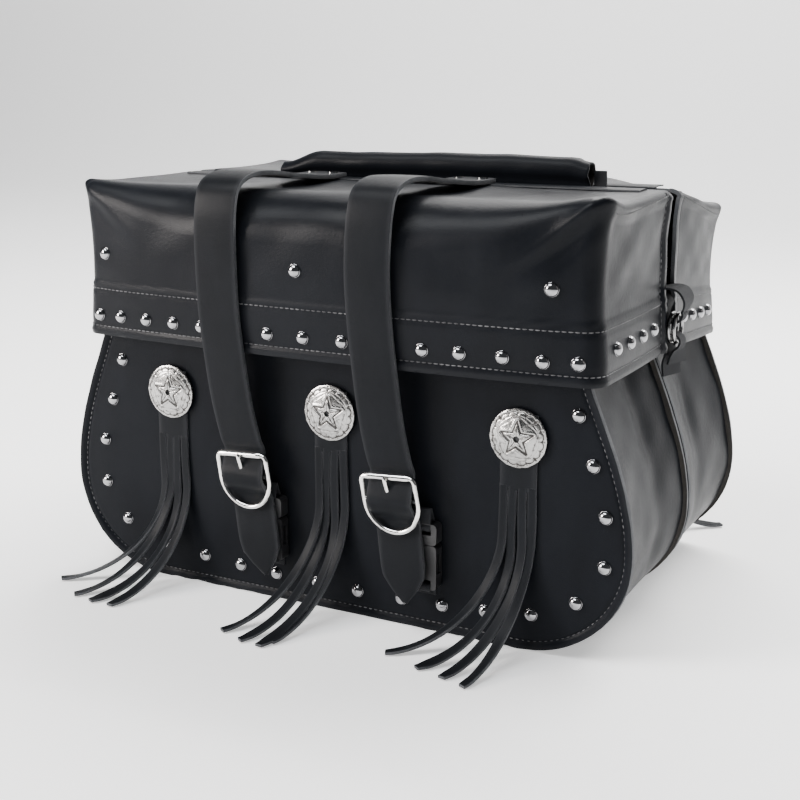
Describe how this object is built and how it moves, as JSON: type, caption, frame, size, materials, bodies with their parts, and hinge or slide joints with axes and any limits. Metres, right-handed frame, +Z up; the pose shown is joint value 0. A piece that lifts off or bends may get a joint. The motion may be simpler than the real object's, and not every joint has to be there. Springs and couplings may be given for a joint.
{
  "type": "motorcycle saddlebag pair",
  "caption": "Pair of black leather throw-over motorcycle saddlebags with hinged lids, buckled straps, studded edges, round ornaments and hanging fringes.",
  "frame": {"origin": "on the ground, midway between the two bags", "axes": "+X along the bags' length, the front bag faces -Y, +Z up"},
  "size_m": [0.452, 0.405, 0.32],
  "materials": {
    "leather": "semi-gloss black grain",
    "board": "matte",
    "buckle_plastic": "satin black",
    "webbing": "woven black",
    "antique_silver": "engraved, darkened recesses",
    "chrome": "polished"
  },
  "bodies": {
    "bags": {"front_back_panel": "leather", "front_base_board": "board", "front_concho_screws": "chrome", "front_conchos": "antique_silver", "front_fringe_left": "leather", "front_fringe_middle": "leather", "front_fringe_right": "leather", "front_gusset": "leather", "front_panel": "leather", "front_panel_studs": "chrome", "front_socket_left": "buckle_plastic", "front_socket_right": "buckle_plastic", "front_tethers": "webbing", "left_tie": "webbing", "rear_back_panel": "leather", "rear_base_board": "board", "rear_concho_screws": "chrome", "rear_conchos": "antique_silver", "rear_fringe_left": "leather", "rear_fringe_middle": "leather", "rear_fringe_right": "leather", "rear_gusset": "leather", "rear_panel": "leather", "rear_panel_studs": "chrome", "rear_socket_left": "buckle_plastic", "rear_socket_right": "buckle_plastic", "rear_tethers": "webbing", "right_tie": "webbing", "yoke": "leather", "yoke_rivets": "chrome", "yoke_tab": "webbing"},
    "front_lid_body": {"front_lid": "leather", "front_strap_left": "leather", "front_strap_right": "leather", "front_buckle_left": "chrome", "front_buckle_right": "chrome", "front_strap_rivets": "chrome", "front_lid_studs": "chrome"},
    "front_prong_left_body": {"front_prong_left": "chrome"},
    "front_plug_left_body": {"front_plug_left": "buckle_plastic"},
    "front_prong_right_body": {"front_prong_right": "chrome"},
    "front_plug_right_body": {"front_plug_right": "buckle_plastic"},
    "rear_lid_body": {"rear_lid": "leather", "rear_strap_left": "leather", "rear_strap_right": "leather", "rear_buckle_left": "chrome", "rear_buckle_right": "chrome", "rear_strap_rivets": "chrome", "rear_lid_studs": "chrome"},
    "rear_prong_left_body": {"rear_prong_left": "chrome"},
    "rear_plug_left_body": {"rear_plug_left": "buckle_plastic"},
    "rear_prong_right_body": {"rear_prong_right": "chrome"},
    "rear_plug_right_body": {"rear_plug_right": "buckle_plastic"},
    "left_rings_body": {"left_rings": "chrome", "left_tie_tail": "webbing"},
    "right_rings_body": {"right_rings": "chrome", "right_tie_tail": "webbing"}
  },
  "joints": [
    {"name": "front_lid", "type": "hinge", "parent": "bags", "child": "front_lid_body", "pos_m": [0, -0.012, 0.304], "axis": [-1, 0, 0], "range_deg": [0, 90]},
    {"name": "front_prong_left", "type": "hinge", "parent": "front_lid_body", "child": "front_prong_left_body", "pos_m": [-0.062, -0.148, 0.097], "axis": [1, 0, 0], "range_deg": [0, 90]},
    {"name": "front_plug_left", "type": "slide", "parent": "bags", "child": "front_plug_left_body", "axis": [0, 0, 1], "range_m": [0, 0.026]},
    {"name": "front_prong_right", "type": "hinge", "parent": "front_lid_body", "child": "front_prong_right_body", "pos_m": [0.062, -0.148, 0.097], "axis": [1, 0, 0], "range_deg": [0, 90]},
    {"name": "front_plug_right", "type": "slide", "parent": "bags", "child": "front_plug_right_body", "axis": [0, 0, 1], "range_m": [0, 0.026]},
    {"name": "rear_lid", "type": "hinge", "parent": "bags", "child": "rear_lid_body", "pos_m": [0, 0.012, 0.304], "axis": [1, 0, 0], "range_deg": [0, 90]},
    {"name": "rear_prong_left", "type": "hinge", "parent": "rear_lid_body", "child": "rear_prong_left_body", "pos_m": [0.062, 0.148, 0.097], "axis": [-1, 0, 0], "range_deg": [0, 90]},
    {"name": "rear_plug_left", "type": "slide", "parent": "bags", "child": "rear_plug_left_body", "axis": [0, 0, 1], "range_m": [0, 0.026]},
    {"name": "rear_prong_right", "type": "hinge", "parent": "rear_lid_body", "child": "rear_prong_right_body", "pos_m": [-0.062, 0.148, 0.097], "axis": [-1, 0, 0], "range_deg": [0, 90]},
    {"name": "rear_plug_right", "type": "slide", "parent": "bags", "child": "rear_plug_right_body", "axis": [0, 0, 1], "range_m": [0, 0.026]},
    {"name": "right_rings", "type": "hinge", "parent": "bags", "child": "right_rings_body", "pos_m": [0.2093, 0, 0.214], "axis": [0, -1, 0], "range_deg": [0, 60]},
    {"name": "left_rings", "type": "hinge", "parent": "bags", "child": "left_rings_body", "pos_m": [-0.2093, 0, 0.214], "axis": [0, 1, 0], "range_deg": [0, 60]}
  ]
}
